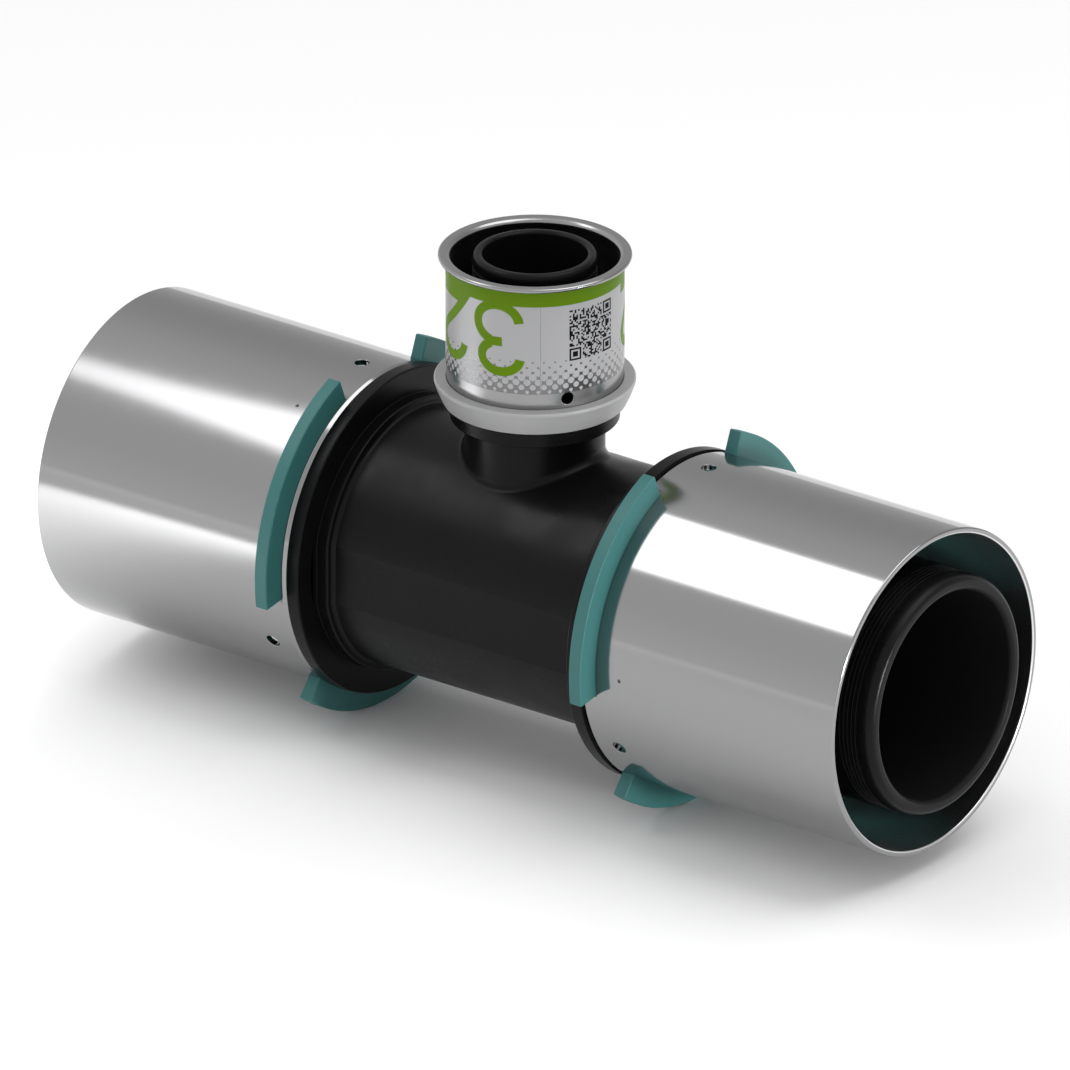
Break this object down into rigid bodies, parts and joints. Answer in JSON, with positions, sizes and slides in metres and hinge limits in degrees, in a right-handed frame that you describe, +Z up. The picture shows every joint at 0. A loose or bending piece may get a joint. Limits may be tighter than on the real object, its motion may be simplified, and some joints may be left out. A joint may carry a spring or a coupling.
{
  "type": "press tee fitting",
  "caption": "Reducing press tee for pipe: moulded body with sealed inserts, steel press sleeves, lugged stop rings and a smaller branch with printed film.",
  "frame": {"origin": "where the axis of the run meets the axis of the branch", "axes": "+X along the run, +Z up the branch, -Y towards the side with the flat band"},
  "size_m": [0.2086, 0.0784, 0.1092],
  "materials": {
    "body_plastic": "moulded black plastic, satin gloss",
    "press_steel": "smooth satin stainless steel",
    "teal_plastic": "matt teal moulded plastic",
    "pale_plastic": "matt light grey moulded plastic",
    "seal_rubber": "black rubber",
    "printed_film": "thin silver-grey film with green and dark print"
  },
  "bodies": {
    "root": {"tee_body": "body_plastic", "run_sleeve_left": "press_steel", "run_sleeve_right": "press_steel", "run_stop_ring_left": "teal_plastic", "run_stop_ring_right": "teal_plastic", "run_o_ring_left_inner": "seal_rubber", "run_o_ring_left_outer": "seal_rubber", "run_o_ring_right_inner": "seal_rubber", "run_o_ring_right_outer": "seal_rubber", "branch_sleeve": "press_steel", "branch_stop_ring": "pale_plastic", "branch_o_ring_lower": "seal_rubber", "branch_o_ring_upper": "seal_rubber", "marking_film": "printed_film"}
  },
  "joints": []
}
